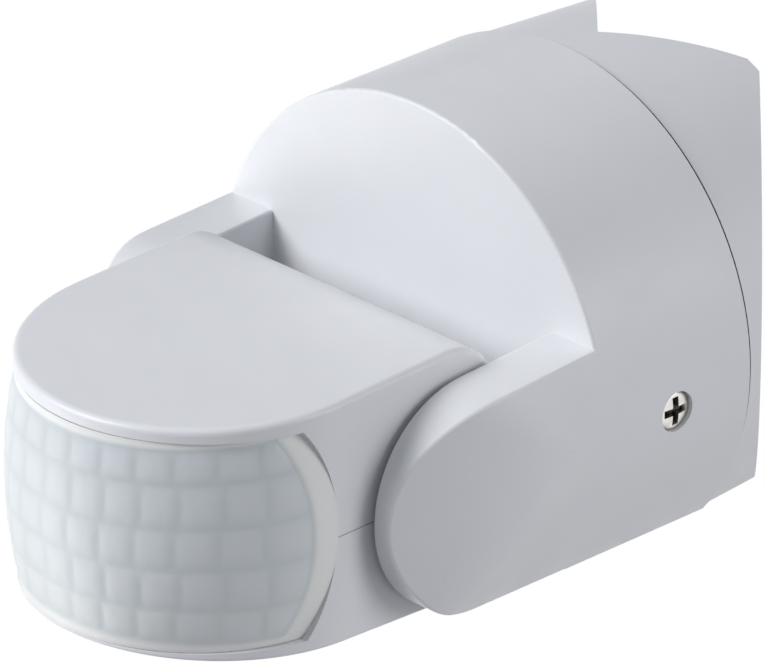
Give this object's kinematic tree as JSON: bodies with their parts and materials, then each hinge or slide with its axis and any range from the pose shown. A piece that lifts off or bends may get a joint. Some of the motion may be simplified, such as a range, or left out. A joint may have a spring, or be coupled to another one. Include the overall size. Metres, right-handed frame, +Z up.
{
  "type": "motion sensor",
  "caption": "Wall and corner mounted motion sensor: a round body with two arms that carry a tilting head with a bulged segmented lens.",
  "frame": {"origin": "the middle of the wall plane, on the axis of the round body", "axes": "+Y points into the wall, -Y into the room, +Z up"},
  "size_m": [0.078, 0.1212, 0.0635],
  "materials": {
    "body_plastic": "fine moulded white plastic",
    "head_plastic": "fine moulded white plastic",
    "lens_plastic": "milky moulded lens plastic",
    "pivot_plastic": "self-oiling moulded plastic",
    "seal_rubber": "soft black rubber",
    "grey_rubber": "soft grey rubber",
    "screw_steel": "bright plated steel",
    "clip_steel": "spring steel",
    "terminal_brass": "turned brass",
    "terminal_plastic": "natural nylon",
    "clamp_plastic": "grey nylon",
    "board_laminate": "green coated laminate",
    "relay_plastic": "black moulded case",
    "capacitor_film": "yellow dipped case",
    "capacitor_sleeve": "shrunk sleeve",
    "varistor_coat": "blue epoxy coat",
    "fuse_glass": "clear tube with plated caps",
    "wire_plastic": "wire insulation",
    "sensor_can": "plated can",
    "sensor_filter": "dark filter",
    "lamp_plastic": "red lamp",
    "cell_face": "daylight cell",
    "pot_plastic": "blue potentiometer case",
    "knob_plastic": "grey moulded plastic"
  },
  "bodies": {
    "housing": {"wall_base": "body_plastic", "base_gasket": "seal_rubber", "cable_grommet": "seal_rubber", "entry_plug": "grey_rubber", "terminal_block": "terminal_plastic", "terminal_clamps": "terminal_brass", "terminal_screws": "screw_steel", "cable_clamp": "clamp_plastic", "cable_clamp_screws": "screw_steel", "main_housing": "body_plastic", "power_board": "board_laminate", "board_screws": "screw_steel", "relay": "relay_plastic", "film_capacitor": "capacitor_film", "electrolytic_capacitor": "capacitor_sleeve", "varistor": "varistor_coat", "fuse": "fuse_glass", "link_wires": "wire_plastic", "arm_wires": "wire_plastic", "housing_screw_left": "screw_steel", "housing_screw_right": "screw_steel"},
    "head": {"head_wires": "wire_plastic", "head_top_shell": "head_plastic", "head_bottom_shell": "head_plastic", "fresnel_lens": "lens_plastic", "lens_retainer": "clamp_plastic", "head_screws": "screw_steel", "sensor_board": "board_laminate", "pir_element": "sensor_can", "pir_filter": "sensor_filter", "status_led": "lamp_plastic", "photocell": "cell_face", "control_board": "board_laminate", "potentiometers": "pot_plastic", "pivot_bush_left": "pivot_plastic", "pivot_bush_right": "pivot_plastic", "pivot_clip_left": "clip_steel", "pivot_clip_right": "clip_steel", "friction_ring_left": "seal_rubber", "friction_ring_right": "seal_rubber"},
    "time_adjuster": {"time_knob": "knob_plastic"},
    "light_adjuster": {"light_knob": "knob_plastic"},
    "range_adjuster": {"range_knob": "knob_plastic"}
  },
  "joints": [
    {"name": "head_tilt", "type": "hinge", "parent": "housing", "child": "head", "pos_m": [0, -0.07, -0.00535], "axis": [1, 0, 0], "range_deg": [-40, 50]},
    {"name": "time_knob_turn", "type": "hinge", "parent": "head", "child": "time_adjuster", "pos_m": [-0.013, -0.08, -0.0213], "axis": [0, 0, 1], "range_deg": [-135, 135]},
    {"name": "light_knob_turn", "type": "hinge", "parent": "head", "child": "light_adjuster", "pos_m": [0, -0.08, -0.0213], "axis": [0, 0, 1], "range_deg": [-135, 135]},
    {"name": "range_knob_turn", "type": "hinge", "parent": "head", "child": "range_adjuster", "pos_m": [0.013, -0.08, -0.0213], "axis": [0, 0, 1], "range_deg": [-135, 135]}
  ]
}
